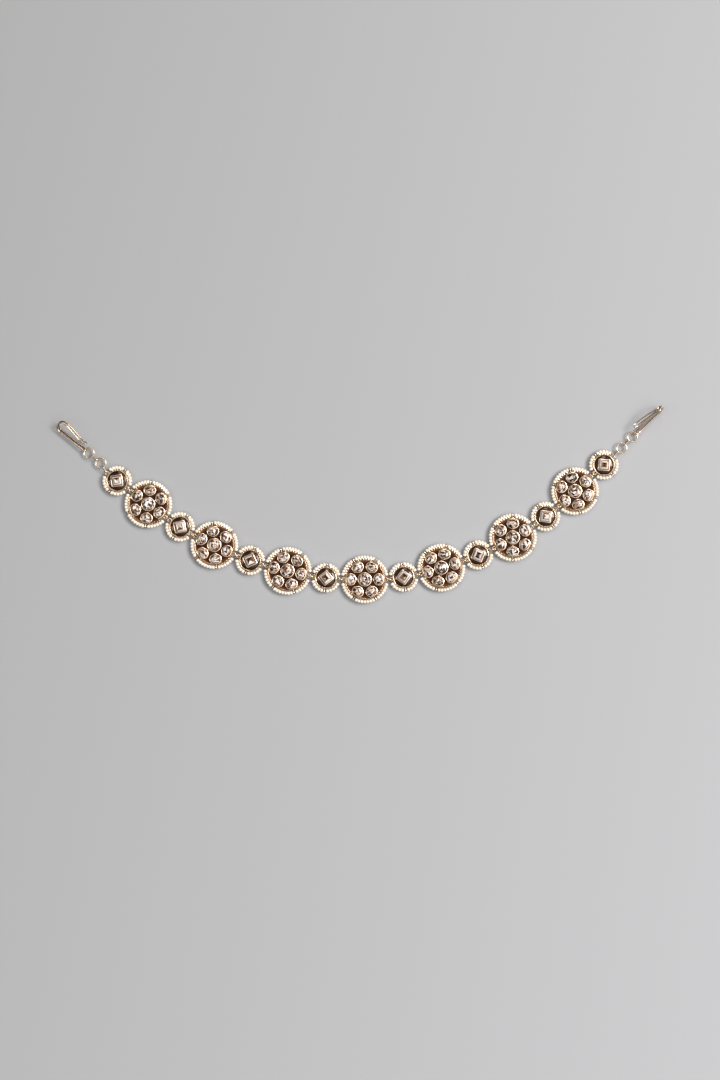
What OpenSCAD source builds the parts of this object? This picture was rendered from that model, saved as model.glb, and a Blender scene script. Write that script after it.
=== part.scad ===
// Matha patti: a jewelled forehead and hair chain, lying flat in the curve it is worn in.
// Eight enamelled studs and seven large rosettes stand by turns on one line of jump rings.
// The origin is the middle of the middle rosette's back, and the stones look up, along +Z.

/* [Stones] */
// Radius of the round stone in the middle of a rosette
centre_stone_r = 3.25; // [2.8:0.05:3.8]
// Length of a petal stone, outwards from the middle of the rosette
petal_len = 4.7; // [4.2:0.1:5.6]
// Width of a petal stone at its outer end
petal_w = 5.6; // [4.8:0.1:6.2]
// Corner radius at the narrow inner end of a petal stone
petal_tip_r = 1.2; // [0.9:0.1:1.5]
// Corner radius at the wide outer end of a petal stone
petal_corner_r = 2.1; // [1.7:0.1:2.3]
// Side of the square stone in a stud
square_stone = 5.2; // [4.4:0.1:5.8]
// Width of the cut that takes off each corner of the square stone
square_corner = 0.5; // [0.3:0.1:0.9]
// Height of the flat-backed stones of a rosette, back to table
rosette_stone_h = 3; // [2.6:0.1:3.6]
// Height of the stone of a stud, back to table
square_stone_h = 3.8; // [3.2:0.1:4.4]
// Thickness of the girdle, the stone's widest band
girdle = 0.3; // [0.2:0.05:0.5]
// Height of the girdle over the stone's back, as a share of the stone's height
girdle_share = 0.5; // [0.4:0.02:0.6]
// Width of the table as a share of the whole stone
table_share = 0.52; // [0.4:0.02:0.65]
// Width of the foiled back as a share of the whole stone
back_share = 0.7; // [0.6:0.02:0.85]
// Clearance between a stone and the collet that holds it, and under it
stone_clearance = 0.1; // [0.08:0.01:0.14]

/* [Settings] */
// Thickness of the back plates
plate_t = 0.9; // [0.6:0.1:1.2]
// Thickness of the collet walls round the stones
collet_wall = 0.55; // [0.4:0.05:0.7]
// How far a collet rises over the girdle of its stone
bezel_lip = 0.3; // [0.2:0.05:0.45]
// Gap between the centre collet and the petal collets
petal_spacing = 0.55; // [0.4:0.05:0.9]
// How far the petal collets run into the rim they are soldered to
petal_solder = 0.15; // [0.1:0.05:0.3]
// Gap between the square collet's corners and the rim of a stud
stud_margin = 0.7; // [0.5:0.05:1.2]
// Thickness of the rim wall
rim_wall = 0.7; // [0.5:0.05:0.9]
// How far the rims rise over the eyelets soldered to them
rim_lip = 0.3; // [0.2:0.05:0.6]
// Diameter of the bead that finishes the top of the rims
rim_bead_d = 0.9; // [0.8:0.05:1.2]
// Depth of the dark ground below the rim of a rosette
ground_depth = 0.6; // [0.4:0.1:0.9]
// Depth of the enamel below the rim of a stud
enamel_depth = 0.3; // [0.2:0.1:0.6]
// Clearance round the ground and the enamel
enamel_clearance = 0.1; // [0.06:0.01:0.15]

/* [Pearls] */
// Diameter of the seed pearls
pearl_d = 2.1; // [1.8:0.1:2.3]
// Gap between the rim and the pearls
pearl_gap = 0.2; // [0.1:0.05:0.4]
// Diameter of the wire the pearls are threaded on
thread_wire_d = 0.4; // [0.3:0.05:0.5]
// Gap between an eyelet and the end of a row of pearls
eyelet_pearl_gap = 0.75; // [0.65:0.05:1]
// Gap between a bead loop and the rows of pearls beside it
loop_pearl_gap = 0.5; // [0.3:0.05:0.7]

/* [Links] */
// Radius of the holes in the eyelets
eyelet_hole_r = 0.6; // [0.55:0.05:0.75]
// Diameter of the wire the eyelets are bent from
eyelet_wire_d = 0.7; // [0.5:0.05:0.8]
// Gap between the rim and the hole of an eyelet
eyelet_offset = 0.1; // [0.05:0.05:0.3]
// Gap between the two eyelets that share a jump ring
joint_gap = 0.4; // [0.3:0.05:0.5]
// Diameter of the wire of the jump rings and links
link_wire_d = 0.6; // [0.5:0.05:0.7]
// Height of the lowest point of the links over the surface below
link_floor_gap = 0.1; // [0.05:0.05:0.3]
// Radius of the hole in a bead loop
bead_loop_hole_r = 0.4; // [0.35:0.05:0.45]
// Diameter of the wire of a bead loop
bead_loop_wire_d = 0.6; // [0.5:0.05:0.7]
// How far a bead loop's middle stands out past the wire that it holds
bead_loop_out = 0.08; // [0:0.02:0.1]
// Length of an end link between the wires at its two ends
end_link_len = 4.7; // [4.6:0.1:5.6]
// Height of an end link between its upper and lower wires
end_link_h = 2.6; // [2.4:0.1:2.9]
// Outer diameter of the flat end rings
end_ring_d = 6.2; // [5.8:0.1:7]
// Diameter of the wire of the end rings
end_ring_wire_d = 0.75; // [0.6:0.05:0.9]
// Clearance between a link and the wire it holds
link_clearance = 0.12; // [0.1:0.01:0.16]

/* [Hair hooks] */
// Length of a hook from its eye to the middle of its bend
hook_len = 18; // [16:0.5:24]
// Widest opening between the two legs, wire middle to wire middle
hook_open = 7.4; // [6:0.1:8]
// Opening at the free tip, wire middle to wire middle
hook_mouth = 3.4; // [2.6:0.1:4.4]
// Length of the free leg as a share of the hook
hook_return = 1; // [0.8:0.02:1]
// Diameter of the doubled wire
hook_wire_d = 0.8; // [0.7:0.05:0.9]
// Distance between the middles of the doubled wire's two strands
hook_strand_gap = 1.7; // [1.3:0.05:1.9]
// How far the left hook leans from flat on its side
left_hook_roll = 45; // [30:5:90]
// How far the right hook leans from flat on its side
right_hook_roll = 82; // [30:2:90]
// How far the free tip of the left hook is bent aside, out of the hook's plane
left_hook_splay = 1; // [0:0.5:4]
// How far the free tip of the right hook is bent aside, out of the hook's plane
right_hook_splay = 3; // [0:0.5:4]

/* [Hidden] */
// Heading of each station along the chain, left to right: studs are even, rosettes odd
station_heading = [-37, -37, -33, -25, -20, -13, -6, 0, 9, 17, 22, 30, 37, 43, 41];
// Headings of the link to the inner ring, the link to the outer ring, and the hook
left_end_heading = [123, 139, 143];
right_end_heading = [46, 46, 44];
rosette_count = 7;
stud_count = rosette_count + 1;
middle = rosette_count;
petals = 6;
round_facets = 16;
hook_sides = 10;
hook_rings = 12;
smooth = 48;

centre_collet_r = centre_stone_r + stone_clearance + collet_wall;
petal_start = centre_collet_r + petal_spacing + collet_wall + stone_clearance;
petal_collet_end = petal_start + petal_len + stone_clearance + collet_wall;
rosette_rim_in = petal_collet_end - petal_solder;
rosette_rim_r = rosette_rim_in + rim_wall;
square_collet = square_stone + 2 * (stone_clearance + collet_wall);
stud_rim_in = square_collet / sqrt(2) + stud_margin;
stud_rim_r = stud_rim_in + rim_wall;
rosette_pearl_r = rosette_rim_r + pearl_gap + pearl_d / 2;
stud_pearl_r = stud_rim_r + pearl_gap + pearl_d / 2;
// A smooth rod of this size holds as much as the row of round pearls it stands for
pearl_rod_d = pearl_d * sqrt(2 / 3);
eyelet_r = eyelet_hole_r + eyelet_wire_d;
jump_ring_r = eyelet_r + joint_gap / 2;
link_z = jump_ring_r + link_wire_d / 2 + link_floor_gap;
rosette_eyelet_x = rosette_rim_r + eyelet_offset + eyelet_hole_r;
stud_eyelet_x = stud_rim_r + eyelet_offset + eyelet_hole_r;
rim_h = link_z + eyelet_wire_d / 2 + rim_lip;
// How far the bead along the rim's top stands in over the wall
bead_overhang = max(0, (rim_bead_d - rim_wall) / 2);
rosette_reach = rosette_eyelet_x + jump_ring_r;
stud_reach = stud_eyelet_x + jump_ring_r;
end_ring_r = (end_ring_d - end_ring_wire_d) / 2;
link_hold = (end_ring_wire_d + link_wire_d) / 2 + link_clearance;
stone_z = plate_t + stone_clearance;

rosette_numbers = [for (i = [1:rosette_count]) i];
stud_numbers = [for (i = [1:stud_count]) i];

// Places along the chain

function is_stud(i) = i % 2 == 0;
function along(angle) = [cos(angle), sin(angle)];
function reach(i) = is_stud(i) ? stud_reach : rosette_reach;
function half_step(i) = reach(i) * along(station_heading[i]);
function station_at(i) =
    i == middle ? [0, 0]
    : i > middle ? station_at(i - 1) + half_step(i - 1) + half_step(i)
    : station_at(i + 1) - half_step(i + 1) - half_step(i);
function rosette_station(i) = 2 * i - 1;
function stud_station(i) = 2 * i - 2;

module at_station(i) {
    translate(station_at(i)) rotate(station_heading[i]) children();
}

// Outlines of the stones, each grown by a wall or a clearance

function arc(centre, r, from, to, steps) =
    [for (k = [0:steps]) centre + r * along(from + (to - from) * k / steps)];

function collet_h(stone_h) = stone_z + girdle_share * stone_h + girdle + bezel_lip;

function petal_outline(grow) =
    let (
        tip = [petal_start + petal_tip_r, 0],
        corner = [petal_start + petal_len - petal_corner_r, petal_w / 2 - petal_corner_r],
        across = corner - tip,
        side = atan2(across.y, across.x) + acos((petal_tip_r - petal_corner_r) / norm(across))
    )
    concat(
        arc(corner, petal_corner_r + grow, 0, side, 5),
        arc(tip, petal_tip_r + grow, side, 360 - side, 2),
        arc([corner.x, -corner.y], petal_corner_r + grow, 360 - side, 360, 5)
    );

function square_outline(grow) =
    let (half = square_stone / 2 + grow, cut = square_corner / sqrt(2))
    [for (k = [0:3]) for (end = [-1, 1]) let (a = 90 * k, s = end * (half - cut))
        [half * cos(a) - s * sin(a), half * sin(a) + s * cos(a)]];

function round_outline(r) = arc([0, 0], r, 0, 360 - 360 / round_facets, round_facets - 1);

function shrunk(points, centre, share) = [for (p = points) centre + share * (p - centre)];

function lifted(points, z) = [for (p = points) [p.x, p.y, z]];

// A solid through a stack of rings that all have the same number of points
module through_rings(rings) {
    count = len(rings[0]);
    last = len(rings) - 1;
    polyhedron(
        points = [for (ring = rings) for (p = ring) p],
        faces = concat(
            [[for (k = [0:count - 1]) k]],
            [for (j = [0:last - 1]) for (k = [0:count - 1]) let (n = (k + 1) % count)
                [j * count + k, (j + 1) * count + k, (j + 1) * count + n, j * count + n]],
            [[for (k = [count - 1:-1:0]) last * count + k]]
        )
    );
}

// Cut stones: a flat foiled back, a girdle, a crown of facets and a table

module cut_stone(outline, centre, h) {
    girdle_z = stone_z + girdle_share * h;
    through_rings([
        lifted(shrunk(outline, centre, back_share), stone_z),
        lifted(outline, girdle_z),
        lifted(outline, girdle_z + girdle),
        lifted(shrunk(outline, centre, table_share), stone_z + h)
    ]);
}

module petal_stone() {
    cut_stone(petal_outline(0), [petal_start + petal_len / 2, 0], rosette_stone_h);
}

module rosette_stones() {
    color("#E9E2DC") {
        cut_stone(round_outline(centre_stone_r), [0, 0], rosette_stone_h);
        for (k = [0:petals - 1]) rotate(k * 360 / petals) petal_stone();
    }
}

module stud_stone() {
    color("#E9E2DC") rotate(45) cut_stone(square_outline(0), [0, 0], square_stone_h);
}

// Wire pieces

module wire_ring(r, wire_d, angle = 360) {
    rotate_extrude(angle = angle, $fn = smooth) translate([r, 0]) circle(d = wire_d, $fn = smooth);
}

module eyelet() {
    wire_ring(eyelet_hole_r + eyelet_wire_d / 2, eyelet_wire_d);
}

// A loop on a short post, through which the pearls' wire passes
module bead_loop(pearl_r, rim_r) {
    loop_r = bead_loop_hole_r + bead_loop_wire_d / 2;
    post_start = rim_r - rim_wall / 2;
    middle_r = pearl_r + bead_loop_out;
    translate([middle_r, 0, link_z]) rotate([90, 0, 0]) wire_ring(loop_r, bead_loop_wire_d);
    translate([post_start, 0, link_z]) rotate([0, 90, 0])
        cylinder(h = middle_r - loop_r - post_start, d = bead_loop_wire_d * 0.9, $fn = smooth);
}

// A jump ring that stands upright in the line of the chain
module jump_ring() {
    rotate([90, 0, 0]) wire_ring(jump_ring_r, link_wire_d);
}

// An upright oval link from x = 0 to x = end_link_len, measured between wire middles
module end_link() {
    bend = end_link_h / 2;
    rotate([90, 0, 0]) {
        for (end = [0, 1]) {
            translate([end == 0 ? bend : end_link_len - bend, 0, 0])
                rotate(end == 0 ? 90 : -90) wire_ring(bend, link_wire_d, 180);
            translate([bend, (2 * end - 1) * bend, 0]) rotate([0, 90, 0])
                cylinder(h = end_link_len - 2 * bend, d = link_wire_d, $fn = smooth);
        }
    }
}

// Settings

// A back plate with its rim wall and the bead along the top, turned in one
module dish(rim_r) {
    bead_r = rim_bead_d / 2;
    rotate_extrude($fn = smooth * 2) {
        square([rim_r, plate_t]);
        translate([rim_r - rim_wall, 0]) square([rim_wall, rim_h - bead_r]);
        translate([rim_r - rim_wall / 2, rim_h - bead_r]) circle(r = bead_r, $fn = smooth);
    }
}

module collet(inner, outer, h) {
    sunk = plate_t / 2;
    translate([0, 0, sunk]) linear_extrude(h - sunk) difference() {
        polygon(outer);
        polygon(inner);
    }
}

module rosette_setting() {
    clear = stone_clearance;
    grown = stone_clearance + collet_wall;
    color("#D9B48F") union() {
        dish(rosette_rim_r);
        collet(round_outline(centre_stone_r + clear), round_outline(centre_stone_r + grown),
            collet_h(rosette_stone_h));
        for (k = [0:petals - 1]) rotate(k * 360 / petals)
            collet(petal_outline(clear), petal_outline(grown), collet_h(rosette_stone_h));
        for (side = [0, 180]) rotate(side) translate([rosette_eyelet_x, 0, link_z]) eyelet();
        for (a = [60, 120, 240, 300]) rotate(a) bead_loop(rosette_pearl_r, rosette_rim_r);
    }
}

module stud_setting() {
    color("#D9B48F") union() {
        dish(stud_rim_r);
        rotate(45) collet(square_outline(stone_clearance),
            square_outline(stone_clearance + collet_wall), collet_h(square_stone_h));
        for (side = [0, 180]) rotate(side) translate([stud_eyelet_x, 0, link_z]) eyelet();
        for (a = [90, 270]) rotate(a) bead_loop(stud_pearl_r, stud_rim_r);
    }
}

// Dark ground and enamel, which fill the dishes round the collets

module rosette_ground() {
    base = plate_t + enamel_clearance;
    grown = stone_clearance + collet_wall + enamel_clearance;
    color("#3A1A10") translate([0, 0, base]) linear_extrude(rim_h - ground_depth - base) difference() {
        circle(r = rosette_rim_in - bead_overhang - enamel_clearance, $fn = smooth * 2);
        polygon(round_outline(centre_stone_r + grown));
        for (k = [0:petals - 1]) rotate(k * 360 / petals) polygon(petal_outline(grown));
    }
}

module stud_enamel() {
    base = plate_t + enamel_clearance;
    grown = stone_clearance + collet_wall + enamel_clearance;
    color("#24100C") translate([0, 0, base]) linear_extrude(rim_h - enamel_depth - base) difference() {
        circle(r = stud_rim_in - bead_overhang - enamel_clearance, $fn = smooth * 2);
        rotate(45) polygon(square_outline(grown));
    }
}

// Pearl strings: half a ring of wire that carries a row of pearls between each two loops

module pearl_rows(ring_r, row_ends) {
    wire_from = asin((eyelet_r + link_clearance) / ring_r);
    color("#F4EFE6") for (side = [0, 180]) rotate(side) translate([0, 0, link_z]) {
        rotate(wire_from) wire_ring(ring_r, thread_wire_d, 180 - 2 * wire_from);
        for (row = row_ends) rotate(row[0]) wire_ring(ring_r, pearl_rod_d, row[1] - row[0]);
    }
}

module rosette_pearls() {
    from_eyelet = asin((eyelet_r + eyelet_pearl_gap) / rosette_pearl_r);
    from_loop = asin((bead_loop_wire_d / 2 + loop_pearl_gap) / rosette_pearl_r);
    pearl_rows(rosette_pearl_r, [
        [from_eyelet, 60 - from_loop],
        [60 + from_loop, 120 - from_loop],
        [120 + from_loop, 180 - from_eyelet]
    ]);
}

module stud_pearls() {
    from_eyelet = asin((eyelet_r + eyelet_pearl_gap) / stud_pearl_r);
    from_loop = asin((bead_loop_wire_d / 2 + loop_pearl_gap) / stud_pearl_r);
    pearl_rows(stud_pearl_r, [[from_eyelet, 90 - from_loop], [90 + from_loop, 180 - from_eyelet]]);
}

// One upright jump ring between each two stations, turned halfway between their headings
module station_links() {
    color("#D9B48F") for (i = [0:len(station_heading) - 2])
        translate(concat(station_at(i) + half_step(i), link_z))
            rotate((station_heading[i] + station_heading[i + 1]) / 2) jump_ring();
}

// The two ends: side is -1 for the left end and 1 for the right

function last_station(side) = side < 0 ? 0 : len(station_heading) - 1;
function end_heading(side) = side < 0 ? left_end_heading : right_end_heading;
function last_eyelet(side) =
    let (i = last_station(side)) station_at(i) + side * stud_eyelet_x * along(station_heading[i]);
// The first link starts off the middle of the eyelet's hole, drawn outwards
link_pull = (eyelet_hole_r - link_wire_d / 2) / 2;
function link_start(side, k) =
    k == 0 ? last_eyelet(side) + link_pull * along(end_heading(side)[0])
    : ring_centre(side, k - 1) + (end_ring_r - link_hold) * along(end_heading(side)[k]);
function ring_centre(side, k) =
    link_start(side, k) + (end_link_len - link_hold + end_ring_r) * along(end_heading(side)[k]);

module end_link_at(side, k) {
    color("#D9B48F") translate(concat(link_start(side, k), link_z))
        rotate(end_heading(side)[k]) end_link();
}

module end_ring_at(side, k) {
    color("#D9B48F") translate(concat(ring_centre(side, k), link_z))
        wire_ring(end_ring_r, end_ring_wire_d);
}

// Hair hook: one wire folded double, so that two strands run side by side. Its middle is the
// eye round the outer ring, and its two ends meet in the round tip of the free leg.

function bezier(p, t) =
    pow(1 - t, 3) * p[0] + 3 * pow(1 - t, 2) * t * p[1] + 3 * (1 - t) * t * t * p[2] + pow(t, 3) * p[3];

hook_bend = hook_open / 2;
hook_bend_x = hook_len - hook_bend;
hook_tip_x = hook_len * (1 - hook_return);
hook_half = hook_strand_gap / 2;
hook_eye_r = (end_ring_wire_d + hook_wire_d) / 2 + link_clearance;
hook_neck = hook_wire_d * 1.3;
// Where the wire leaves the eye, in degrees from the line of the hook
hook_eye_open = 50;
// Pulls that shape the free leg: its fullness, its slope to the tip, and how far it dips before the tip
hook_belly = 0.6 * hook_len;
hook_slope = 0.2 * hook_len;
hook_dip = 0.4 * hook_bend;

// The hook in its own plane, with a third figure for how far it is bent aside: out along the held
// leg, round the bend and back to the free tip
function hook_plane(splay) = concat(
    [for (k = [0:hook_rings / 2 - 1]) [hook_bend_x * k / (hook_rings / 2), 0, 0]],
    [for (k = [0:hook_rings - 1]) let (a = 180 * k / hook_rings - 90)
        [hook_bend_x + hook_bend * cos(a), hook_bend + hook_bend * sin(a), 0]],
    [for (k = [0:hook_rings]) bezier([
        [hook_bend_x, hook_open, 0],
        [hook_belly, hook_open, -splay / 2],
        [hook_tip_x + hook_slope, hook_mouth - hook_dip, -splay],
        [hook_tip_x, hook_mouth, -splay]
    ], k / hook_rings)]
);

// The hook's plane leans over by roll, to the left or right, and dips so that the bend rests
function leaned(p, roll, side) =
    let (
        dip = asin((link_z - link_floor_gap - hook_wire_d / 2 - hook_half * abs(cos(roll))) / hook_len),
        y = p.y * cos(roll) - p.z * sin(roll),
        z = p.y * sin(roll) + p.z * cos(roll)
    )
    [hook_eye_r + hook_neck + p.x * cos(dip) + z * sin(dip), side * y, z * cos(dip) - p.x * sin(dip)];

function hook_path(roll, splay, side) =
    let (
        plane = hook_plane(splay),
        last = len(plane) - 1,
        ahead = unit(plane[last] - plane[last - 1]),
        strand = [0, 0, hook_half],
        sideways = side * hook_half * sin(roll)
    )
    concat(
        [for (k = [last:-1:0]) leaned(plane[k] + strand, roll, side)],
        [for (a = [hook_eye_open:20:360 - hook_eye_open])
            [hook_eye_r * cos(a), sideways * (a - 180) / (180 - hook_eye_open), hook_eye_r * sin(a)]],
        [for (k = [0:last]) leaned(plane[k] - strand, roll, side)],
        [for (a = [30:30:150])
            leaned(plane[last] + hook_half * sin(a) * ahead - cos(a) * strand, roll, side)]
    );

function unit(v) = v / norm(v);
function square_to(v, t) = unit(v - (v * t) * t);

// A round wire along a closed path. Each ring's first side is carried over from the ring before,
// and what it has turned by when it comes round again is shared out over all the rings.
module wire_loop(path, wire_d) {
    count = len(path);
    t = [for (i = [0:count - 1]) unit(path[(i + 1) % count] - path[(i + count - 1) % count])];
    carried = [for (i = 0, n = square_to([0, 0, 1], t[0]); i <= count; i = i + 1,
        n = square_to(n, t[i % count])) n];
    turned = atan2(cross(carried[count], carried[0]) * t[0], carried[count] * carried[0]);
    polyhedron(
        points = [for (i = [0:count - 1]) for (k = [0:hook_sides - 1])
            let (a = turned * i / count + 360 * k / hook_sides)
            path[i] + wire_d / 2 * (cos(a) * carried[i] + sin(a) * cross(t[i], carried[i]))],
        faces = [for (i = [0:count - 1]) for (k = [0:hook_sides - 1])
            let (j = (i + 1) % count, m = (k + 1) % hook_sides)
            [i * hook_sides + k, j * hook_sides + k, j * hook_sides + m, i * hook_sides + m]]
    );
}

module hook_at(side, roll, splay) {
    heading = end_heading(side)[2];
    color("#D9B48F") translate(concat(ring_centre(side, 1) + end_ring_r * along(heading), link_z))
        rotate(heading) wire_loop(hook_path(roll, splay, side), hook_wire_d);
}

for (i = rosette_numbers) {
    at_station(rosette_station(i)) rosette_setting();
    at_station(rosette_station(i)) rosette_stones();
    at_station(rosette_station(i)) rosette_pearls();
}
for (i = stud_numbers) {
    at_station(stud_station(i)) stud_setting();
    at_station(stud_station(i)) stud_stone();
    at_station(stud_station(i)) stud_pearls();
}
for (i = rosette_numbers) at_station(rosette_station(i)) rosette_ground();  // rosette_grounds
for (i = stud_numbers) at_station(stud_station(i)) stud_enamel();  // stud_enamels
station_links();
end_link_at(-1, 0);  // left_inner_link
end_ring_at(-1, 0);  // left_inner_ring
end_link_at(-1, 1);  // left_outer_link
end_ring_at(-1, 1);  // left_outer_ring
hook_at(-1, left_hook_roll, left_hook_splay);  // left_hook
end_link_at(1, 0);  // right_inner_link
end_ring_at(1, 0);  // right_inner_ring
end_link_at(1, 1);  // right_outer_link
end_ring_at(1, 1);  // right_outer_ring
hook_at(1, right_hook_roll, right_hook_splay);  // right_hook
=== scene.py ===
import math
import random

import bmesh
import bpy
from mathutils import Matrix, Vector, noise
from mathutils.bvhtree import BVHTree


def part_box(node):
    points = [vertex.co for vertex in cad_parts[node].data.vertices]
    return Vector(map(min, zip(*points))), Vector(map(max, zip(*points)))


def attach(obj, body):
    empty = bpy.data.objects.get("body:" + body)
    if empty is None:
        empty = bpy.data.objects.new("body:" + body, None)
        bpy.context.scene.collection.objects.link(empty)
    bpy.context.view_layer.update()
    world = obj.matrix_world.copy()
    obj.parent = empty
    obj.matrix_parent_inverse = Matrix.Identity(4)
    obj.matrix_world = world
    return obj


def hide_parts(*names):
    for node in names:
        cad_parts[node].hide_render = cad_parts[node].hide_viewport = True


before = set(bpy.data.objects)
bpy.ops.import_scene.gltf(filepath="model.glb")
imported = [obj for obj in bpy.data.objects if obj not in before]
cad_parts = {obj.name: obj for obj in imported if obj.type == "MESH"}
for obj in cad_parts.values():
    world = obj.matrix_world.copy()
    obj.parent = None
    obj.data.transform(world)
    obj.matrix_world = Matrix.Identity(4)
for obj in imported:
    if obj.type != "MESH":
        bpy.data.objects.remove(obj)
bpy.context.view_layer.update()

# Camera: straight above the chain, as the photograph looks down on it. One pixel of the
# 720 x 1080 picture covers 0.55 mm of the table, and the middle rosette lies at (364.7, 579.35).
MM = 0.001
picture_w, picture_h = 720, 1080
pixel = 0.55 * MM
middle_rosette_px, middle_rosette_py = 364.7, 579.35
lens, film = 70, 36

camera = bpy.data.objects.new("camera", bpy.data.cameras.new("camera"))
camera.data.lens = lens
camera.data.sensor_width = film
camera.location = (
    (picture_w / 2 - middle_rosette_px) * pixel,
    (middle_rosette_py - picture_h / 2) * pixel,
    picture_h * pixel * lens / film,
)
bpy.context.scene.collection.objects.link(camera)
bpy.context.scene.camera = camera
bpy.context.scene.view_settings.view_transform = "Standard"

# Table: a smooth pale grey paper sweep, painted lighter towards the right and the near edge as painted
# light from the lamps. It lies just under the backs of the settings, and is wide enough to fill a low
# view. It is cut in squares, so that its middle stays exact.
table_size, table_squares = 150.0, 51
table_gap = 0.03 * MM
# The paper's two greys are painted light: shaded towards the far left, lit towards the near right
table_shaded_grey, table_lit_grey = "#A2A2A3", "#BDBDC0"
table_fade = 0.35
painted_light_direction = (0.866, -0.5, 0)


def hex_colour(code):
    """The linear colour of an sRGB hex value."""
    shares = [int(code[i : i + 2], 16) / 255 for i in (1, 3, 5)]
    return [s / 12.92 if s <= 0.04045 else ((s + 0.055) / 1.055) ** 2.4 for s in shares] + [1]


def add_node(tree, kind, inputs, **settings):
    """Adds a node with its settings, and links or fills its inputs."""
    made = tree.nodes.new(kind)
    for name, value in settings.items():
        setattr(made, name, value)
    for name, value in inputs.items():
        if isinstance(value, bpy.types.NodeSocket):
            tree.links.new(value, made.inputs[name])
        else:
            made.inputs[name].default_value = value
    return made


def new_material(name, **sockets):
    """A material with the shader's own sockets set, its node tree and its shader."""
    material = bpy.data.materials.new(name)
    material.use_nodes = True
    shader = material.node_tree.nodes["Principled BSDF"]
    for socket, value in sockets.items():
        shader.inputs[socket.replace("_", " ")].default_value = value
    return material, material.node_tree, shader


# Matte paper: no gloss, with painted light: its grey is painted lighter from the far left to the near
# right
paper, tree, shader = new_material("matte_paper", Roughness=0.9)
place = add_node(tree, "ShaderNodeTexCoord", {})
across = add_node(
    tree,
    "ShaderNodeVectorMath",
    {0: place.outputs["Object"], 1: painted_light_direction},
    operation="DOT_PRODUCT",
)
share = add_node(
    tree,
    "ShaderNodeMapRange",
    {"Value": across.outputs["Value"], "From Min": -table_fade, "From Max": table_fade},
)
painted_light_grey = add_node(
    tree,
    "ShaderNodeMix",
    {0: share.outputs["Result"], 6: hex_colour(table_shaded_grey), 7: hex_colour(table_lit_grey)},
    data_type="RGBA",
)
tree.links.new(painted_light_grey.outputs[2], shader.inputs["Base Color"])

bm = bmesh.new()
bmesh.ops.create_grid(bm, x_segments=table_squares, y_segments=table_squares, size=table_size / 2)
bmesh.ops.translate(bm, verts=bm.verts[:], vec=(0, 0, -table_gap))
table = bpy.data.objects.new("table", bpy.data.meshes.new("table"))
bm.to_mesh(table.data)
bm.free()
table.data.materials.append(paper)
bpy.context.scene.collection.objects.link(table)

# Lights: one large soft box to the right and above, weaker ones behind and on the left, and a
# studio with a band of bright screens between the dark floor and the dim overhead. The screens are
# brightest on the right, dimmer on the left, and dimmest beyond the far and the near edge.
floor_tone, screen_tone, overhead_tone = "#2A2A2C", "#FFFFFF", "#68635F"
left_strength, right_strength = 0.5, 1.8
middle_share, far_and_near_share = 1.2, 0.4
for name, spot, wide, high, watts, tint in (
    ("right_soft_box", (2.05, 0.6, 2.1), 1.5, 0.95, 59.5, "#FFFCF8"),
    ("back_soft_box", (0.4, 2.2, 1.9), 0.9, 0.9, 12.0, "#FFFFFF"),
    ("left_reflector", (-2.1, -0.3, 1.8), 0.9, 0.9, 9.0, "#FFFFFF"),
):
    lamp = bpy.data.lights.new(name, "AREA")
    lamp.shape = "RECTANGLE"
    lamp.size, lamp.size_y = wide, high
    lamp.energy = watts
    lamp.color = hex_colour(tint)[:3]
    holder = bpy.data.objects.new(name, lamp)
    holder.location = spot
    holder.rotation_mode = "QUATERNION"
    holder.rotation_quaternion = Vector(spot).to_track_quat("Z", "Y")
    bpy.context.scene.collection.objects.link(holder)

studio = bpy.data.worlds.new("studio")
studio.use_nodes = True
tree = studio.node_tree
place = add_node(tree, "ShaderNodeTexCoord", {})
heading = add_node(tree, "ShaderNodeSeparateXYZ", {"Vector": place.outputs["Generated"]})
walls = add_node(tree, "ShaderNodeValToRGB", {"Fac": heading.outputs["Z"]})
for height, tone in (
    (0.46, floor_tone),
    (0.6, screen_tone),
    (0.88, screen_tone),
    (0.95, overhead_tone),
):
    walls.color_ramp.elements.new(height).color = hex_colour(tone)
walls.color_ramp.elements[0].color = hex_colour(floor_tone)
walls.color_ramp.elements[-1].color = hex_colour(overhead_tone)
tree.links.new(walls.outputs["Color"], tree.nodes["Background"].inputs["Color"])
sideways = add_node(
    tree,
    "ShaderNodeMapRange",
    {
        "Value": heading.outputs["X"],
        "From Min": -0.3,
        "From Max": 0.5,
        "To Min": left_strength,
        "To Max": right_strength,
    },
)
far_or_near = add_node(tree, "ShaderNodeMath", {0: heading.outputs["Y"]}, operation="ABSOLUTE")
lengthways = add_node(
    tree,
    "ShaderNodeMapRange",
    {
        "Value": far_or_near.outputs["Value"],
        "From Min": 0.45,
        "From Max": 0.7,
        "To Min": middle_share,
        "To Max": far_and_near_share,
    },
)
strength = add_node(
    tree,
    "ShaderNodeMath",
    {0: sideways.outputs["Result"], 1: lengthways.outputs["Result"]},
    operation="MULTIPLY",
)
tree.links.new(strength.outputs["Value"], tree.nodes["Background"].inputs["Strength"])
bpy.context.scene.world = studio

# Rosette settings: seven shallow brass dishes plated in rose gold. A round collet and six petal
# collets are soldered into each dish, and two eyelets and four bead loops to its rim. The wire of
# the pearls is lashed to the rim between each two pearls with finer wire.
rosette_count = 7
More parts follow.
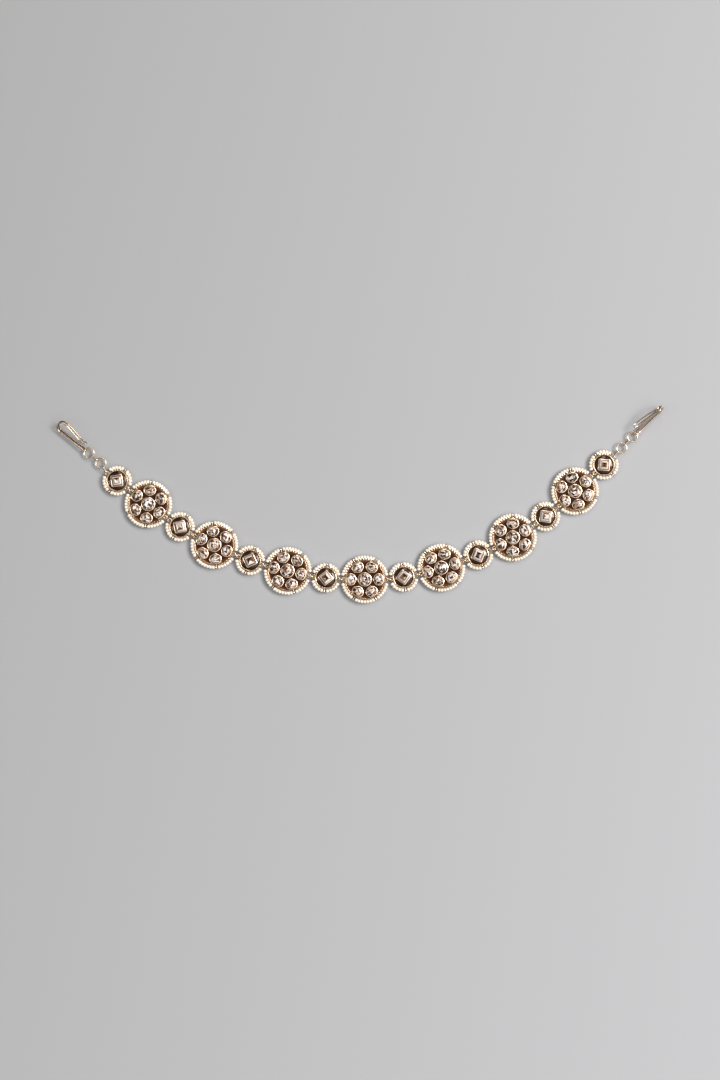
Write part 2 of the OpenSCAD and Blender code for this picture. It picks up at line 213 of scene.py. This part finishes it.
# Heading of each station along the chain, left to right: studs and rosettes by turns
headings = [-37, -37, -33, -25, -20, -13, -6, 0, 9, 17, 22, 30, 37, 43, 41]
rim_r, rim_wall, rim_h, rim_bead_r = 11.0, 0.7, 2.55, 0.45
plate_t = 0.9
link_z = 1.9
petal_rounds = [(6.3, 0, 1.2), (7.7, 0.7, 2.1), (7.7, -0.7, 2.1)]
petal_middle = Vector((7.45, 0, 0))
centre_stone_r = 3.25
stone_gap, collet_wall = 0.1, 0.55
rosette_collet_h = 3.1
eyelet_r, eyelet_wire_r = 0.95, 0.35
eyelet_off_rim, eyelet_off_thread = 0.1, 0.12
loop_r, loop_wire_r, loop_out = 0.7, 0.3, 0.08
post_taper = 0.9
rosette_pearl_r = 12.25
thread_r, lashing_r = 0.2, 0.26
lashing_inside_rim, lashing_flat = 0.05, 0.85
# How much painted shade and patina darken the plating of each part, from 0 for clean to 1
clean, eyelet_shade_and_patina, thread_painted_shade = 0.0, 0.1, 0.9
rosette_dish_shade_and_patina, rosette_bead_shade_and_patina = 0.65, 0.6
# An edge turned by more degrees than this is a sharp one
crease = 38
# Each row of pearls from its first edge to its last, in degrees from the chain's line, and its count
rosette_rows = [(9.63, 56.26, 6), (63.74, 116.26, 7), (123.74, 170.37, 6)]


def lathe(outline, sides=96):
    """Turns an outline of (radius, height) points. One that starts on the axis ends there too."""
    bm = bmesh.new()
    points = [bm.verts.new((radius, 0, height)) for radius, height in outline]
    edges = [bm.edges.new(pair) for pair in zip(points, points[1:])]
    if outline[0][0] > 0:
        edges.append(bm.edges.new((points[-1], points[0])))
    bmesh.ops.spin(
        bm,
        geom=points + edges,
        cent=(0, 0, 0),
        axis=(0, 0, 1),
        angle=math.tau,
        steps=sides,
        use_merge=True,
    )
    bmesh.ops.remove_doubles(bm, verts=bm.verts[:], dist=1e-5)
    return bm


def arc(x, y, r, start, end, steps):
    """Points of an arc, by its middle, radius and angles in degrees."""
    angles = [math.radians(start + (end - start) * k / steps) for k in range(steps + 1)]
    return [(x + r * math.cos(a), y + r * math.sin(a)) for a in angles]


def wire_ring(ring_r, wire_r, sides=10, steps=32):
    """A ring of round wire, lying flat."""
    return lathe(arc(ring_r, 0, wire_r, 0, 360 * (1 - 1 / sides), sides - 1), steps)


def turned(degrees, axis="Z"):
    return Matrix.Rotation(math.radians(degrees), 4, axis)


def paint_shade_and_patina(part, share):
    """Marks how much painted shade and patina darken the plating of a part."""
    shade_and_patina = part.verts.layers.float.get("shade_and_patina") or part.verts.layers.float.new("shade_and_patina")
    for vert in part.verts:
        vert[shade_and_patina] = share
    return part


def fix(work, part, *places):
    """Fixes a copy of a part to the work at each place, with its faces outwards."""
    bmesh.ops.recalc_face_normals(part, faces=part.faces[:])
    mesh = bpy.data.meshes.new("part")
    part.to_mesh(mesh)
    part.free()
    for place in places:
        copy = mesh.copy()
        copy.transform(place)
        work.from_mesh(copy)
        bpy.data.meshes.remove(copy)
    bpy.data.meshes.remove(mesh)


def hull(bm):
    """Closes all points into one block, and makes each flat side one face."""
    shell = bmesh.ops.convex_hull(bm, input=bm.verts[:])
    left_over = shell["geom_interior"] + shell["geom_unused"]
    inside = {v for v in left_over if isinstance(v, bmesh.types.BMVert)}
    bmesh.ops.delete(bm, geom=list(inside), context="VERTS")
    bmesh.ops.dissolve_limit(bm, angle_limit=math.radians(1), verts=bm.verts[:], edges=bm.edges[:])
    bmesh.ops.recalc_face_normals(bm, faces=bm.faces[:])
    return bm


def open_collet(block, top_z, floor_z, wall, slope=0.2, lip=0.17, sharp=1.0):
    """Hollows a block into a collet, slopes its rim outwards, and rounds the rim's sharp edges."""
    top = max(block.faces, key=lambda f: f.calc_center_median().z)
    bmesh.ops.translate(block, verts=top.verts[:], vec=(0, 0, -slope))
    bmesh.ops.inset_region(block, faces=[top], thickness=wall, use_even_offset=True)
    bmesh.ops.translate(block, verts=top.verts[:], vec=(0, 0, slope))
    well = bmesh.ops.extrude_face_region(block, geom=[top])["geom"]
    down = [v for v in well if isinstance(v, bmesh.types.BMVert)]
    bmesh.ops.translate(block, verts=down, vec=(0, 0, floor_z - top_z))
    bmesh.ops.delete(block, geom=[f for f in block.faces if f == top], context="FACES_ONLY")
    rims = [
        e
        for e in block.edges
        if min(v.co.z for v in e.verts) > top_z - slope - 1e-4
        and len(e.link_faces) == 2
        and e.calc_face_angle() > sharp
    ]
    bmesh.ops.bevel(
        block,
        geom=rims,
        offset=lip,
        offset_type="OFFSET",
        affect="EDGES",
        segments=3,
        profile=0.5,
        material=-1,
    )
    return block


def smooth(bm):
    for face in bm.faces:
        face.smooth = True
    return bm


def station_place(i):
    """Where station i lies: on the middle of its setting, turned by its heading."""
    name = f"stud_{i // 2 + 1}_setting" if i % 2 == 0 else f"rosette_{i // 2 + 1}_setting"
    low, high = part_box(name)
    middle = (low + high) / 2 / MM
    return Matrix.Translation((middle.x, middle.y, 0)) @ turned(headings[i])


def rosette_place(number):
    return station_place(2 * number - 1)


def lay(name, bm, materials, replaced, place=Matrix()):
    """Makes a piece of the mesh, in metres, at its place on the table, in place of the CAD nodes."""
    mesh = bpy.data.meshes.new(name)
    bm.to_mesh(mesh)
    mesh.transform(Matrix.Scale(MM, 4) @ place)
    mesh.set_sharp_from_angle(angle=math.radians(crease))
    for material in materials:
        mesh.materials.append(material)
    piece = bpy.data.objects.new(name, mesh)
    bpy.context.scene.collection.objects.link(piece)
    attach(piece, "root")
    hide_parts(*replaced)
    return piece


# Rose gold plate on brass, burnished where fingers reach, and clean on the backs. Low down between
# the pearls and where parts crowd together it is painted darker brown: painted shade, mixed with
# patina. The polish varies over a few millimetres, and the file leaves a fine grain.
polish_size, best_polish, worst_polish = 2.5, 0.09, 0.22
grain_size, grain_depth = 0.15, 0.02
# Heights in mm between which the clean backs give way to painted shade and patina
clean_under_z, shade_and_patina_from_z = 0.13, 0.4
# Painted shade and patina low down: full share at the lower height, none at the upper, in mm
darkest_low_z, bright_z, low_shade_and_patina = 0.6, 2.2, 0.55
rose_gold, tree, shader = new_material("rose_gold_plated_brass", Metallic=1.0, Roughness=0.28)
place = add_node(tree, "ShaderNodeTexCoord", {})
cloud = add_node(
    tree,
    "ShaderNodeTexNoise",
    {"Vector": place.outputs["Object"], "Scale": 1 / (polish_size * MM), "Detail": 3.0},
)
tone = add_node(
    tree,
    "ShaderNodeMix",
    {0: cloud.outputs["Fac"], 6: hex_colour("#FFEED6"), 7: hex_colour("#F5D2A8")},
    data_type="RGBA",
)
height = add_node(tree, "ShaderNodeSeparateXYZ", {"Vector": place.outputs["Object"]})
# Painted shade low down between the pearls, mixed with patina
low = add_node(
    tree,
    "ShaderNodeMapRange",
    {
        "Value": height.outputs["Z"],
        "From Min": darkest_low_z * MM,
        "From Max": bright_z * MM,
        "To Min": low_shade_and_patina,
        "To Max": 0.0,
    },
)
off_back = add_node(
    tree,
    "ShaderNodeMapRange",
    {
        "Value": height.outputs["Z"],
        "From Min": clean_under_z * MM,
        "From Max": shade_and_patina_from_z * MM,
    },
)
# Each part's own share of painted shade and patina
shade_and_patina = add_node(tree, "ShaderNodeAttribute", {}, attribute_name="shade_and_patina")
deeper = add_node(
    tree, "ShaderNodeMath", {0: low.outputs["Result"], 1: shade_and_patina.outputs["Fac"]}, operation="MAXIMUM"
)
recess = add_node(
    tree,
    "ShaderNodeMath",
    {0: deeper.outputs["Value"], 1: off_back.outputs["Result"]},
    operation="MULTIPLY",
)
# The painted shade and patina darken the plating towards this brown
darkened = add_node(
    tree,
    "ShaderNodeMix",
    {0: recess.outputs["Value"], 6: tone.outputs[2], 7: hex_colour("#6E3A16")},
    data_type="RGBA",
)
tree.links.new(darkened.outputs[2], shader.inputs["Base Color"])
dull = add_node(
    tree,
    "ShaderNodeMapRange",
    {"Value": cloud.outputs["Fac"], "To Min": best_polish, "To Max": worst_polish},
)
tree.links.new(dull.outputs["Result"], shader.inputs["Roughness"])
grain = add_node(
    tree,
    "ShaderNodeTexNoise",
    {"Vector": place.outputs["Object"], "Scale": 1 / (grain_size * MM), "Detail": 2.0},
)
bump = add_node(
    tree,
    "ShaderNodeBump",
    {"Height": grain.outputs["Fac"], "Strength": 0.15, "Distance": grain_depth * MM},
)
tree.links.new(bump.outputs["Normal"], shader.inputs["Normal"])


def dish(rim_r, dish_shade_and_patina, bead_shade_and_patina):
    """A back plate with its rim and the round bead along the rim's top, turned in one."""
    middle_r = rim_r - rim_wall / 2
    bead_z = rim_h - rim_bead_r
    bead = arc(middle_r, bead_z, rim_bead_r, -39, 219, 12)
    bead_top_z = bead_z + 0.1
    back_border, back_dip = 1.1, 0.12
    shell = lathe(
        [
            (0, back_dip),
            (rim_r - back_border - back_dip, back_dip),
            (rim_r - back_border, 0),
            (rim_r - back_dip, 0),
            (rim_r, back_dip),
            *bead,
            (rim_r - rim_wall, plate_t),
            (0, plate_t),
        ]
    )
    # Painted shade and patina: one share for the dish, another for the bead on top of the rim
    paint_shade_and_patina(smooth(shell), dish_shade_and_patina)
    shade_and_patina = shell.verts.layers.float["shade_and_patina"]
    for vert in shell.verts:
        if vert.co.z > bead_top_z:
            vert[shade_and_patina] = bead_shade_and_patina
    return shell


def fit_rim(work, rim_r, pearl_r, loop_angles, rows):
    """Solders the eyelets and bead loops to a rim, and lashes the pearls' wire to it."""
    eyelet_x = rim_r + eyelet_off_rim + eyelet_r - eyelet_wire_r
    ends = [turned(side) @ Matrix.Translation((eyelet_x, 0, link_z)) for side in (0, 180)]
    fix(work, paint_shade_and_patina(smooth(wire_ring(eyelet_r, eyelet_wire_r)), eyelet_shade_and_patina), *ends)

    loop_x = pearl_r + loop_out
    upright = Matrix.Translation((loop_x, 0, link_z)) @ turned(90, "X")
    loop = paint_shade_and_patina(smooth(wire_ring(loop_r, loop_wire_r, 8, 24)), clean)
    fix(work, loop, *[turned(a) @ upright for a in loop_angles])
    post = bmesh.new()
    post_len = loop_x - loop_r - rim_r + rim_wall / 2
    bmesh.ops.create_cone(
        post,
        cap_ends=True,
        segments=10,
        radius1=loop_wire_r,
        radius2=loop_wire_r * post_taper,
        depth=post_len,
    )
    post_place = Matrix.Translation((loop_x - loop_r - post_len / 2, 0, link_z)) @ turned(90, "Y")
    fix(work, paint_shade_and_patina(smooth(post), clean), *[turned(a) @ post_place for a in loop_angles])

    thread_off = eyelet_r + eyelet_wire_r + eyelet_off_thread
    from_eyelet = math.degrees(math.asin(thread_off / pearl_r))
    thread = bmesh.new()
    across = Matrix.Translation((pearl_r, 0, 0)) @ turned(90, "X")
    bmesh.ops.create_circle(thread, cap_ends=True, segments=6, radius=thread_r, matrix=across)
    to_start = turned(from_eyelet).to_3x3()
    bmesh.ops.rotate(thread, verts=thread.verts[:], cent=(0, 0, 0), matrix=to_start)
    bmesh.ops.spin(
        thread,
        geom=thread.verts[:] + thread.edges[:] + thread.faces[:],
        cent=(0, 0, 0),
        axis=(0, 0, 1),
        angle=math.radians(180 - 2 * from_eyelet),
        steps=40,
    )
    level = Matrix.Translation((0, 0, link_z))
    # The pearls' wire is painted nearly dark brown: painted shade in the gaps between the pearls
    fix(work, paint_shade_and_patina(smooth(thread), thread_painted_shade), level, level @ turned(180))

    # A lashing of fine wire is half a ring, from the pearls' wire over the rim to inside it
    inner_r = rim_r - rim_wall - lashing_inside_rim
    reach = (pearl_r - inner_r) / 2
    lashing = bmesh.new()
    bmesh.ops.create_circle(
        lashing,
        cap_ends=True,
        segments=5,
        radius=lashing_r,
        matrix=Matrix.Translation((pearl_r, 0, 0)),
    )
    bmesh.ops.spin(
        lashing,
        geom=lashing.verts[:] + lashing.edges[:] + lashing.faces[:],
        cent=(pearl_r - reach, 0, 0),
        axis=(0, -1, 0),
        angle=math.pi,
        steps=6,
    )
    bmesh.ops.scale(lashing, verts=lashing.verts[:], vec=(1, 1, lashing_flat))
    ties = []
    for start, end, count in rows:
        for side in (0, 180):
            for k in range(1, count):
                ties.append(level @ turned(side + start + (end - start) * k / count))
    fix(work, paint_shade_and_patina(smooth(lashing), clean), *ties)


def petal_block(grow, low, high):
    """The rounded triangle of a petal stone, grown all round, as a block between two heights."""
    bm = bmesh.new()
    for x, y, r in petal_rounds:
        for z in (low, high):
            middle = Matrix.Translation((x, y, z))
            bmesh.ops.create_circle(bm, segments=24, radius=r + grow, matrix=middle)
    return hull(bm)


rosette = dish(rim_r, rosette_dish_shade_and_patina, rosette_bead_shade_and_patina)
centre_collet = bmesh.new()
for z in (plate_t / 2, rosette_collet_h):
    bmesh.ops.create_circle(
        centre_collet,
        segments=48,
        radius=centre_stone_r + stone_gap + collet_wall,
        matrix=Matrix.Translation((0, 0, z)),
    )
collet = open_collet(hull(centre_collet), rosette_collet_h, plate_t, collet_wall)
fix(rosette, paint_shade_and_patina(smooth(collet), clean), Matrix())
collet = petal_block(stone_gap + collet_wall, plate_t / 2, rosette_collet_h)
collet = open_collet(collet, rosette_collet_h, plate_t, collet_wall)
fix(rosette, paint_shade_and_patina(smooth(collet), clean), *[turned(60 * k) for k in range(6)])
fit_rim(rosette, rim_r, rosette_pearl_r, (60, 120, 240, 300), rosette_rows)
for i in range(1, rosette_count + 1):
    lay(
        f"rosette_{i}_jewelled_setting",
        rosette,
        [rose_gold],
        [f"rosette_{i}_setting"],
        rosette_place(i),
    )
rosette.free()

# Rosette stones: a round cut glass and six petal ones, each with a table and a crown of facets.
# They are foiled behind, and each facet is painted at random with a reflection of the foil, bright,
# pink or dark as if by its slant; they sit in the collets, held by the burnished rims.
girdle_low, girdle_high = 2.5, 2.8
rosette_table_z, stone_foot_z = 4.0, 1.05
petal_table_step, centre_table_step = 0.6, 0.75
facet_draw = random.Random(5)

# Foiled cut glass: hard and mirror-smooth, coloured with painted reflections, from the white of foil
# that mirrors a lamp through pink-beige to the dark of the facets that look past the lamp
foiled_glass, tree, shader = new_material(
    "foiled_cut_glass",
    Roughness=0.05,
    IOR=1.55,
    Coat_Weight=0.5,
    Coat_Roughness=0.02,
    Coat_IOR=1.6,
)
painted_reflection = add_node(tree, "ShaderNodeAttribute", {}, attribute_name="painted_facet_reflection")
tones = add_node(tree, "ShaderNodeValToRGB", {"Fac": painted_reflection.outputs["Fac"]})
for share, tone in ((0.27, "#3A241A"), (0.45, "#86604A"), (0.59, "#BF9C84"), (0.72, "#EEDDCE")):
    tones.color_ramp.elements.new(share).color = hex_colour(tone)
tones.color_ramp.elements[0].color = hex_colour("#120A08")
tones.color_ramp.elements[-1].color = hex_colour("#FFFFFF")
tree.links.new(tones.outputs["Color"], shader.inputs["Base Color"])


def cut_facets(stone, table_step):
    """Cuts the pattern of the back's facets that shows through the table."""
    table = max(stone.faces, key=lambda f: f.calc_center_median().z)
    bmesh.ops.inset_region(stone, faces=[table], thickness=table_step, use_even_offset=True)
    bmesh.ops.poke(stone, faces=[table])
    stone.faces.layers.float.new("painted_facet_reflection")
    return stone


def paint_facet_reflections(stones, table_power=1.0, crown_power=1.0):
    """Draws a painted reflection for each facet, at random. A power over 1 gives more dark ones, one
    under 1 more bright.
    """
    painted_facet_reflection = stones.faces.layers.float["painted_facet_reflection"]
    for facet in stones.faces:
        power = table_power if facet.normal.z > 0.99 else crown_power
        facet[painted_facet_reflection] = facet_draw.random() ** power
    return stones


def petal_gem():
    """A petal stone, from rings of points between its foot and its table."""
    bm = bmesh.new()
    for share, z, sides, half_step in (
        (0.7, stone_foot_z, 12, 0),
        (1.0, girdle_low, 16, 0),
        (1.0, girdle_high, 16, 0),
        (0.86, 3.4, 5, 1),
        (0.62, rosette_table_z, 3, 0),
    ):
        for x, y, r in petal_rounds:
            spot = petal_middle + (Vector((x, y, 0)) - petal_middle) * share
            spot.z = z
            bmesh.ops.create_circle(
                bm,
                segments=sides,
                radius=r * share,
                matrix=Matrix.Translation(spot) @ turned(180 / sides * half_step),
            )
    return cut_facets(hull(bm), petal_table_step)


def round_gem():
    """The centre stone, made the same way."""
    bm = bmesh.new()
    for share, z, sides, half_step in (
        (0.7, stone_foot_z, 16, 0),
        (1.0, girdle_low, 16, 0),
        (1.0, girdle_high, 16, 0),
        (0.86, 3.4, 8, 1),
        (0.6, rosette_table_z, 6, 0),
    ):
        bmesh.ops.create_circle(
            bm,
            segments=sides,
            radius=centre_stone_r * share,
            matrix=Matrix.Translation((0, 0, z)) @ turned(180 / sides * half_step),
        )
    return cut_facets(hull(bm), centre_table_step)


stones = bmesh.new()
stones.faces.layers.float.new("painted_facet_reflection")
fix(stones, round_gem(), turned(11))
fix(stones, petal_gem(), *[turned(60 * k) for k in range(6)])
for i in range(1, rosette_count + 1):
    lay(
        f"rosette_{i}_cut_stones",
        paint_facet_reflections(stones),
        [foiled_glass],
        [f"rosette_{i}_stones"],
        rosette_place(i),
    )
stones.free()

# Rosette grounds: dark maroon-brown lacquer laid on the floor of each dish round the collets. It
# dried a little uneven, and creeps up where it meets the rim.
ground_r, ground_base, ground_z = 10.26, 1.0, 1.95
ground_chamfer = 0.1
creep_wide, creep_from, creep_high = 0.3, 0.2, 0.08
ring_gap, ring_count = 0.6, 15
ripple_high, ripple_scale, ripple_off_rim = 0.05, 0.8, 0.2
lacquer_cloud, edge_glow = 1.5, 0.9

# Lacquer gone half-matte, clouded over a millimetre or two, and thin and browner at its edge
dark_lacquer, tree, shader = new_material("dark_lacquer", Roughness=0.3)
place = add_node(tree, "ShaderNodeTexCoord", {})
cloud = add_node(
    tree,
    "ShaderNodeTexNoise",
    {"Vector": place.outputs["Object"], "Scale": 1 / (lacquer_cloud * MM), "Detail": 4.0},
)
tone = add_node(
    tree,
    "ShaderNodeMix",
    {0: cloud.outputs["Fac"], 6: hex_colour("#190704"), 7: hex_colour("#43190D")},
    data_type="RGBA",
)
worn_edge = add_node(tree, "ShaderNodeAttribute", {}, attribute_name="edge")
glow = add_node(
    tree,
    "ShaderNodeMix",
    {0: worn_edge.outputs["Fac"], 6: tone.outputs[2], 7: hex_colour("#74411C")},
    data_type="RGBA",
)
tree.links.new(glow.outputs[2], shader.inputs["Base Color"])

ground = smooth(
    lathe(
        [
            (0, ground_base),
            (ground_r - ground_chamfer, ground_base),
            (ground_r, ground_z - creep_from),
            (ground_r, ground_z + creep_high),
            (ground_r - creep_wide, ground_z + creep_high / 4),
            *[(ground_r - ring_gap * k, ground_z) for k in range(1, ring_count + 1)],
            (0, ground_z),
        ],
        72,
    )
)
edge = ground.verts.layers.float.new("edge")
for vert in ground.verts:
    vert[edge] = max(0, 1 - (ground_r - vert.co.xy.length) / edge_glow)
    if vert.co.z > ground_z - ripple_high and vert.co.xy.length < ground_r - ripple_off_rim:
        vert.co.z += ripple_high * noise.noise(vert.co * ripple_scale)
grounds = bmesh.new()
grounds.verts.layers.float.new("edge")
fix(grounds, ground, *[rosette_place(i) for i in range(1, rosette_count + 1)])
lay("rosette_lacquer_grounds", grounds, [dark_lacquer], ["rosette_grounds"])
grounds.free()

# Pearls: small cultured seed pearls, a little longer round than along the string, no two quite
# alike. Each row is threaded on the wire between two loops or eyelets.
pearl_half, pearl_length_share, barrel = 1.05, 0.98, 0.28
smallest_share, flattest_share = 0.93, 0.96
nacre_cloud = 2.2
pearl_draw = random.Random(12)

# Nacre: creamy white, soft inside and glossy outside, a little warmer from one pearl to the next
nacre, tree, shader = new_material(
    "seed_pearl_nacre",
    Roughness=0.3,
    IOR=1.53,
    Coat_Weight=0.5,
    Coat_Roughness=0.12,
    Sheen_Weight=0.15,
    Sheen_Roughness=0.4,
)
place = add_node(tree, "ShaderNodeTexCoord", {})
cloud = add_node(
    tree,
    "ShaderNodeTexNoise",
    {"Vector": place.outputs["Object"], "Scale": 1 / (nacre_cloud * MM)},
)
spread = add_node(
    tree, "ShaderNodeMapRange", {"Value": cloud.outputs["Fac"], "From Min": 0.3, "From Max": 0.7}
)
tone = add_node(
    tree,
    "ShaderNodeMix",
    {0: spread.outputs["Result"], 6: hex_colour("#FFF9EC"), 7: hex_colour("#F7E9D6")},
    data_type="RGBA",
)
tree.links.new(tone.outputs[2], shader.inputs["Base Color"])


def seed_pearl():
    """A sphere drawn out towards a barrel, its poles on the string."""
    bm = bmesh.new()
    for vert in bmesh.ops.create_uvsphere(bm, u_segments=14, v_segments=8, radius=1)["verts"]:
        x, y, z = vert.co
        waist = max(math.hypot(x, y), 1e-3) ** -barrel
        vert.co = (x * waist, y * waist, z * max(abs(z), 1e-3) ** -barrel)
    return smooth(bm)


def thread_pearls(name, ring_r, rows, replaced, place):
    """Threads all rows of one station, each pearl rolled on the string as it falls."""
    bm = bmesh.new()
    places = []
    for start, end, count in rows:
        for side in (0, 180):
            for k in range(count):
                angle = start + (end - start) * (k + 0.5) / count
                length = math.radians(end - start) / count * ring_r * pearl_length_share
                size = pearl_half * pearl_draw.uniform(smallest_share, 1.0)
                flat = size * pearl_draw.uniform(flattest_share, 1.0)
                turn = turned(side + angle) @ Matrix.Translation((ring_r, 0, link_z)) @ turned(90, "X")
                shape = Matrix.Diagonal((size, flat, length / 2, 1))
                roll = turned(pearl_draw.uniform(0, 360)) @ shape
                places.append(turn @ roll)
    fix(bm, seed_pearl(), *places)
    lay(name, bm, [nacre], replaced, place)
    bm.free()


for i in range(1, rosette_count + 1):
    thread_pearls(
        f"rosette_{i}_seed_pearls",
        rosette_pearl_r,
        rosette_rows,
        [f"rosette_{i}_pearls"],
        rosette_place(i),
    )

# Stud settings: eight smaller dishes made as the rosettes' are, with one square collet that
# stands on its corner, two eyelets and two bead loops.
stud_count = 8
stud_rim_r = 5.996
stud_pearl_r = 7.246
stud_collet_h = 3.5
square_half, square_cut, collet_cut_share = 2.6, 0.35, 1.2
stud_rows = [(16.43, 83.66, 5), (96.34, 163.57, 5)]
# Shares of painted shade and patina for the stud dishes and for their beads
stud_dish_shade_and_patina, stud_bead_shade_and_patina = 0.75, 0.25


def square_ring(bm, half, cut, z):
    """Eight points of a square with cut corners, its corners on the chain's line."""
    radius = math.hypot(half, half - cut)
    off = 45 - math.degrees(math.atan2(half - cut, half))
    level = Matrix.Translation((0, 0, z))
    for turn in (off, -off):
        bmesh.ops.create_circle(bm, segments=4, radius=radius, matrix=level @ turned(turn))


def stud_place(number):
    return station_place(2 * number - 2)


stud = dish(stud_rim_r, stud_dish_shade_and_patina, stud_bead_shade_and_patina)
block = bmesh.new()
for z in (plate_t / 2, stud_collet_h):
    square_ring(block, square_half + stone_gap + collet_wall, square_cut * collet_cut_share, z)
collet = open_collet(hull(block), stud_collet_h, plate_t, collet_wall)
fix(stud, paint_shade_and_patina(smooth(collet), clean), Matrix())
fit_rim(stud, stud_rim_r, stud_pearl_r, (90, 270), stud_rows)
for i in range(1, stud_count + 1):
    lay(
        f"stud_{i}_jewelled_setting",
        stud,
        [rose_gold],
        [f"stud_{i}_setting"],
        stud_place(i),
    )
stud.free()

# Stud stones: one square step-cut glass in each stud, foiled behind like the others. Their painted
# reflections show more dark on the tables and more bright on the crowns than those of the rosettes.
stud_girdle_low, stud_girdle_high, stud_table_z = 2.9, 3.2, 4.8
stud_table_step = 0.45
bm = bmesh.new()
for share, z in (
    (0.7, stone_foot_z),
    (1.0, stud_girdle_low),
    (1.0, stud_girdle_high),
    (0.8, 4.2),
    (0.62, stud_table_z),
):
    square_ring(bm, square_half * share, square_cut * share, z)
stone = cut_facets(hull(bm), stud_table_step)
for i in range(1, stud_count + 1):
    lay(
        f"stud_{i}_step_cut_stone",
        paint_facet_reflections(stone, table_power=1.25, crown_power=0.4),
        [foiled_glass],
        [f"stud_{i}_stone"],
        stud_place(i),
    )
stone.free()

# Stud enamels: near-black maroon glass enamel fired into the dish round the square collet. It
# stands in a smooth rounded swell between collet and rim.
enamel_r, enamel_base, enamel_chamfer, enamel_top = 5.25, 1.0, 0.1, 2.57
# The swell is an arc about a point far below it, from the rim in to the collet, in degrees
swell_x, swell_z, swell_r = 0.942, -6.536, 9.33
swell_rim, swell_collet, swell_steps = 62.5, 77.3, 12
enamel_cloud = 2.0

# Fired glass enamel: mirror-smooth, and so deep a maroon that it is black where no lamp shows
vitreous_enamel, tree, shader = new_material(
    "vitreous_enamel", Roughness=0.05, IOR=1.55, Specular_Tint=hex_colour("#FFE8DE")
)
place = add_node(tree, "ShaderNodeTexCoord", {})
cloud = add_node(
    tree,
    "ShaderNodeTexNoise",
    {"Vector": place.outputs["Object"], "Scale": 1 / (enamel_cloud * MM)},
)
tone = add_node(
    tree,
    "ShaderNodeMix",
    {0: cloud.outputs["Fac"], 6: hex_colour("#120403"), 7: hex_colour("#260906")},
    data_type="RGBA",
)
tree.links.new(tone.outputs[2], shader.inputs["Base Color"])
enamel = smooth(
    lathe(
        [
            (0, enamel_base),
            (enamel_r - enamel_chamfer, enamel_base),
            *arc(swell_x, swell_z, swell_r, swell_rim, swell_collet, swell_steps),
            (0, enamel_top),
        ],
        72,
    )
)
enamels = bmesh.new()
fix(enamels, enamel, *[stud_place(i) for i in range(1, stud_count + 1)])
lay("stud_glass_enamels", enamels, [vitreous_enamel], ["stud_enamels"])
enamels.free()

# Stud pearls: seed pearls as round the rosettes, in four rows of five between the two eyelets and
# the two bead loops.
for i in range(1, stud_count + 1):
    thread_pearls(
        f"stud_{i}_seed_pearls",
        stud_pearl_r,
        stud_rows,
        [f"stud_{i}_pearls"],
        stud_place(i),
    )

# Jump rings, end links and end rings: round wire bent to shape and plated. Their solids are
# already the shape of the real wire, so they only take the plating.
end_pieces = ("inner_link", "inner_ring", "outer_link", "outer_ring")
for name in ("station_links", *[f"{side}_{kind}" for side in ("left", "right") for kind in end_pieces]):
    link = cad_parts[name]
    link.data.materials.clear()
    link.data.materials.append(rose_gold)

# Hair hooks: one wire folded double, with its fold round the outer ring and its ends run
# together in the tip. The solid's ten-sided wire is drawn round here. Where one strand faces the
# other the plating is painted brown, painted shade found by casting rays, which shows as dark lines
# between them.
handled_brown, strand_painted_shade, soften_times = 0.22, 0.5, 3
strand_reach, off_skin = 1.6, 0.1
# The ways to look out from a point of the wire: eight in a cone, and one straight out
outwards, slanted = Vector((0, 0, 1)), Vector((0.5, 0, 0.87))
looks = [turned(45 * k).to_3x3() @ slanted for k in range(8)] + [outwards]
# Two triangles make one face if they are flatter to each other than this, and no more skewed, in
# degrees
flat_within, skewed_within = 60, 80
for side in ("left", "right"):
    hook = bmesh.new()
    hook.from_mesh(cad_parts[f"{side}_hook"].data)
    bmesh.ops.scale(hook, verts=hook.verts[:], vec=(1 / MM, 1 / MM, 1 / MM))
    bmesh.ops.remove_doubles(hook, verts=hook.verts[:], dist=1e-4)
    bmesh.ops.join_triangles(
        hook,
        faces=hook.faces[:],
        angle_face_threshold=math.radians(flat_within),
        angle_shape_threshold=math.radians(skewed_within),
    )
    hook.normal_update()
    paint_shade_and_patina(smooth(hook), handled_brown)
    shade_and_patina = hook.verts.layers.float["shade_and_patina"]
    # Painted shade: a point of the wire that sees another strand close by is darkened, and the shade is
    # then softened over its neighbours
    strands = BVHTree.FromBMesh(hook)
    for vert in hook.verts:
        aim = vert.normal.to_track_quat("Z", "Y")
        skin = vert.co + vert.normal * off_skin
        for look in looks:
            if strands.ray_cast(skin, aim @ look, strand_reach)[0] is not None:
                vert[shade_and_patina] += strand_painted_shade
    for k in range(soften_times):
        means = []
        for vert in hook.verts:
            beside = [edge.other_vert(vert)[shade_and_patina] for edge in vert.link_edges]
            means.append((vert[shade_and_patina] + sum(beside)) / (1 + len(beside)))
        for vert, mean in zip(hook.verts, means):
            vert[shade_and_patina] = mean
    piece = lay(f"{side}_hair_hook_wire", hook, [rose_gold], [f"{side}_hook"])
    hook.free()
    rounder = piece.modifiers.new("rounder", "SUBSURF")
    rounder.levels = rounder.render_levels = 1
